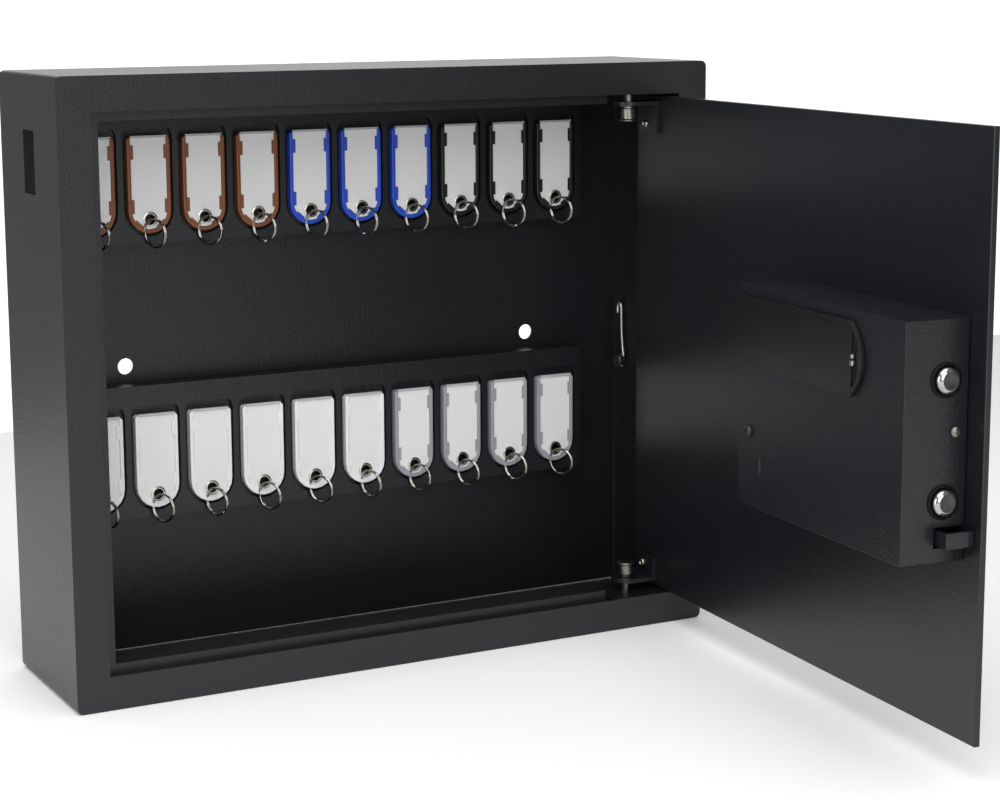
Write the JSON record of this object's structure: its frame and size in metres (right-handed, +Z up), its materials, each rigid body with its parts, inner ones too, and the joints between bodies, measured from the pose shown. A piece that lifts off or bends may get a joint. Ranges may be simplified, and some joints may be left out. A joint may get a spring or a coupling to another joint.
{
  "type": "key cabinet",
  "caption": "Wall-mounted steel key cabinet with a hinged door, keypad lock with sliding bolts and a turn knob, and rails of removable key tags.",
  "frame": {"origin": "centre of the cabinet's rear face, the face that lies on the wall", "axes": "+X to the cabinet's right seen from the front, +Y from the front into the wall, +Z up"},
  "size_m": [0.35, 0.368, 0.3],
  "materials": {
    "powder_coat": "dark graphite powder coat with a fine orange-peel texture",
    "zinc": "bright zinc-plated steel",
    "chrome": "polished chrome-plated steel",
    "black_plastic": "fine-textured black plastic",
    "cover_plastic": "smooth black plastic",
    "key_plastic": "pale grey rubbery key caps with printed figures",
    "copper": "varnished copper winding under a tape",
    "tag_brown": "smooth brown plastic",
    "tag_blue": "smooth blue plastic",
    "tag_black": "smooth black plastic",
    "tag_white": "smooth white plastic",
    "tag_grey": "smooth grey plastic"
  },
  "bodies": {
    "cabinet": {"outer_shell": "powder_coat", "back_panel": "powder_coat", "key_rail_upper": "powder_coat", "key_rail_lower": "powder_coat", "hinge_bracket_upper": "powder_coat", "hinge_bracket_lower": "powder_coat", "hinge_pin_upper": "zinc", "hinge_pin_lower": "zinc", "door_spring": "zinc", "spring_screw": "zinc"},
    "door": {"door_plate": "powder_coat", "hinge_leaf_upper": "powder_coat", "hinge_leaf_lower": "powder_coat", "lock_case": "powder_coat", "case_screw_front": "black_plastic", "case_screw_side": "zinc", "case_tab": "powder_coat", "battery_pack": "black_plastic", "solenoid_body": "copper", "keypad_housing": "black_plastic", "override_barrel": "zinc"},
    "knob": {"turn_knob": "black_plastic"},
    "bolts": {"bolt_carriage": "zinc", "bolt_upper": "chrome", "bolt_lower": "chrome"},
    "plunger": {"solenoid_plunger": "zinc"},
    "battery_cover": {"battery_cover": "cover_plastic"},
    "override_cap": {"override_cap": "black_plastic"},
    "key_01": {"key_button_01": "key_plastic"},
    "key_02": {"key_button_02": "key_plastic"},
    "key_03": {"key_button_03": "key_plastic"},
    "key_04": {"key_button_04": "key_plastic"},
    "key_05": {"key_button_05": "key_plastic"},
    "key_06": {"key_button_06": "key_plastic"},
    "key_07": {"key_button_07": "key_plastic"},
    "key_08": {"key_button_08": "key_plastic"},
    "key_09": {"key_button_09": "key_plastic"},
    "key_10": {"key_button_10": "key_plastic"},
    "key_11": {"key_button_11": "key_plastic"},
    "key_12": {"key_button_12": "key_plastic"},
    "tag_upper_01": {"key_tag_upper_01": "tag_brown"},
    "tag_upper_02": {"key_tag_upper_02": "tag_brown"},
    "tag_upper_03": {"key_tag_upper_03": "tag_brown"},
    "tag_upper_04": {"key_tag_upper_04": "tag_brown"},
    "tag_upper_05": {"key_tag_upper_05": "tag_blue"},
    "tag_upper_06": {"key_tag_upper_06": "tag_blue"},
    "tag_upper_07": {"key_tag_upper_07": "tag_blue"},
    "tag_upper_08": {"key_tag_upper_08": "tag_black"},
    "tag_upper_09": {"key_tag_upper_09": "tag_black"},
    "tag_upper_10": {"key_tag_upper_10": "tag_black"},
    "tag_lower_01": {"key_tag_lower_01": "tag_white"},
    "tag_lower_02": {"key_tag_lower_02": "tag_white"},
    "tag_lower_03": {"key_tag_lower_03": "tag_white"},
    "tag_lower_04": {"key_tag_lower_04": "tag_white"},
    "tag_lower_05": {"key_tag_lower_05": "tag_white"},
    "tag_lower_06": {"key_tag_lower_06": "tag_white"},
    "tag_lower_07": {"key_tag_lower_07": "tag_grey"},
    "tag_lower_08": {"key_tag_lower_08": "tag_grey"},
    "tag_lower_09": {"key_tag_lower_09": "tag_grey"},
    "tag_lower_10": {"key_tag_lower_10": "tag_grey"}
  },
  "joints": [
    {"name": "door_hinge", "type": "hinge", "parent": "cabinet", "child": "door", "pos_m": [0.139, -0.0715, 0], "axis": [0, 0, 1], "range_deg": [-85.7, 5.3]},
    {"name": "knob_turn", "type": "hinge", "parent": "door", "child": "knob", "pos_m": [0.13841, -0.28606, -0.028], "axis": [0.9972, -0.075, 0], "range_deg": [0, 90]},
    {"name": "battery_cover_hinge", "type": "hinge", "parent": "door", "child": "battery_cover", "pos_m": [0.11008, -0.21875, 0.0308], "axis": [0, 0, -1], "range_deg": [0, 40]},
    {"name": "override_cap_pull", "type": "slide", "parent": "door", "child": "override_cap", "axis": [0.9972, -0.075, 0], "range_m": [0, 0.012]},
    {"name": "bolt_slide", "type": "slide", "parent": "door", "child": "bolts", "axis": [-0.075, -0.9972, 0], "range_m": [0, 0.015]},
    {"name": "plunger_slide", "type": "slide", "parent": "door", "child": "plunger", "axis": [0, 0, -1], "range_m": [0, 0.004]},
    {"name": "key_press_01", "type": "slide", "parent": "door", "child": "key_01", "axis": [-0.9972, 0.075, 0], "range_m": [0, 0.0012], "stiffness_N_per_m": 400},
    {"name": "key_press_02", "type": "slide", "parent": "door", "child": "key_02", "axis": [-0.9972, 0.075, 0], "range_m": [0, 0.0012], "stiffness_N_per_m": 400},
    {"name": "key_press_03", "type": "slide", "parent": "door", "child": "key_03", "axis": [-0.9972, 0.075, 0], "range_m": [0, 0.0012], "stiffness_N_per_m": 400},
    {"name": "key_press_04", "type": "slide", "parent": "door", "child": "key_04", "axis": [-0.9972, 0.075, 0], "range_m": [0, 0.0012], "stiffness_N_per_m": 400},
    {"name": "key_press_05", "type": "slide", "parent": "door", "child": "key_05", "axis": [-0.9972, 0.075, 0], "range_m": [0, 0.0012], "stiffness_N_per_m": 400},
    {"name": "key_press_06", "type": "slide", "parent": "door", "child": "key_06", "axis": [-0.9972, 0.075, 0], "range_m": [0, 0.0012], "stiffness_N_per_m": 400},
    {"name": "key_press_07", "type": "slide", "parent": "door", "child": "key_07", "axis": [-0.9972, 0.075, 0], "range_m": [0, 0.0012], "stiffness_N_per_m": 400},
    {"name": "key_press_08", "type": "slide", "parent": "door", "child": "key_08", "axis": [-0.9972, 0.075, 0], "range_m": [0, 0.0012], "stiffness_N_per_m": 400},
    {"name": "key_press_09", "type": "slide", "parent": "door", "child": "key_09", "axis": [-0.9972, 0.075, 0], "range_m": [0, 0.0012], "stiffness_N_per_m": 400},
    {"name": "key_press_10", "type": "slide", "parent": "door", "child": "key_10", "axis": [-0.9972, 0.075, 0], "range_m": [0, 0.0012], "stiffness_N_per_m": 400},
    {"name": "key_press_11", "type": "slide", "parent": "door", "child": "key_11", "axis": [-0.9972, 0.075, 0], "range_m": [0, 0.0012], "stiffness_N_per_m": 400},
    {"name": "key_press_12", "type": "slide", "parent": "door", "child": "key_12", "axis": [-0.9972, 0.075, 0], "range_m": [0, 0.0012], "stiffness_N_per_m": 400},
    {"name": "tag_pull_upper_01", "type": "slide", "parent": "cabinet", "child": "tag_upper_01", "axis": [0, -1, 0], "range_m": [0, 0.025]},
    {"name": "tag_pull_upper_02", "type": "slide", "parent": "cabinet", "child": "tag_upper_02", "axis": [0, -1, 0], "range_m": [0, 0.025]},
    {"name": "tag_pull_upper_03", "type": "slide", "parent": "cabinet", "child": "tag_upper_03", "axis": [0, -1, 0], "range_m": [0, 0.025]},
    {"name": "tag_pull_upper_04", "type": "slide", "parent": "cabinet", "child": "tag_upper_04", "axis": [0, -1, 0], "range_m": [0, 0.025]},
    {"name": "tag_pull_upper_05", "type": "slide", "parent": "cabinet", "child": "tag_upper_05", "axis": [0, -1, 0], "range_m": [0, 0.025]},
    {"name": "tag_pull_upper_06", "type": "slide", "parent": "cabinet", "child": "tag_upper_06", "axis": [0, -1, 0], "range_m": [0, 0.025]},
    {"name": "tag_pull_upper_07", "type": "slide", "parent": "cabinet", "child": "tag_upper_07", "axis": [0, -1, 0], "range_m": [0, 0.025]},
    {"name": "tag_pull_upper_08", "type": "slide", "parent": "cabinet", "child": "tag_upper_08", "axis": [0, -1, 0], "range_m": [0, 0.025]},
    {"name": "tag_pull_upper_09", "type": "slide", "parent": "cabinet", "child": "tag_upper_09", "axis": [0, -1, 0], "range_m": [0, 0.025]},
    {"name": "tag_pull_upper_10", "type": "slide", "parent": "cabinet", "child": "tag_upper_10", "axis": [0, -1, 0], "range_m": [0, 0.025]},
    {"name": "tag_pull_lower_01", "type": "slide", "parent": "cabinet", "child": "tag_lower_01", "axis": [0, -1, 0], "range_m": [0, 0.025]},
    {"name": "tag_pull_lower_02", "type": "slide", "parent": "cabinet", "child": "tag_lower_02", "axis": [0, -1, 0], "range_m": [0, 0.025]},
    {"name": "tag_pull_lower_03", "type": "slide", "parent": "cabinet", "child": "tag_lower_03", "axis": [0, -1, 0], "range_m": [0, 0.025]},
    {"name": "tag_pull_lower_04", "type": "slide", "parent": "cabinet", "child": "tag_lower_04", "axis": [0, -1, 0], "range_m": [0, 0.025]},
    {"name": "tag_pull_lower_05", "type": "slide", "parent": "cabinet", "child": "tag_lower_05", "axis": [0, -1, 0], "range_m": [0, 0.025]},
    {"name": "tag_pull_lower_06", "type": "slide", "parent": "cabinet", "child": "tag_lower_06", "axis": [0, -1, 0], "range_m": [0, 0.025]},
    {"name": "tag_pull_lower_07", "type": "slide", "parent": "cabinet", "child": "tag_lower_07", "axis": [0, -1, 0], "range_m": [0, 0.025]},
    {"name": "tag_pull_lower_08", "type": "slide", "parent": "cabinet", "child": "tag_lower_08", "axis": [0, -1, 0], "range_m": [0, 0.025]},
    {"name": "tag_pull_lower_09", "type": "slide", "parent": "cabinet", "child": "tag_lower_09", "axis": [0, -1, 0], "range_m": [0, 0.025]},
    {"name": "tag_pull_lower_10", "type": "slide", "parent": "cabinet", "child": "tag_lower_10", "axis": [0, -1, 0], "range_m": [0, 0.025]}
  ],
  "couplings": [
    {"joint": "knob_turn", "follows": "bolt_slide", "rad_per_m": 104.72},
    {"joint": "plunger_slide", "follows": "bolt_slide", "ratio": 0.26666}
  ]
}
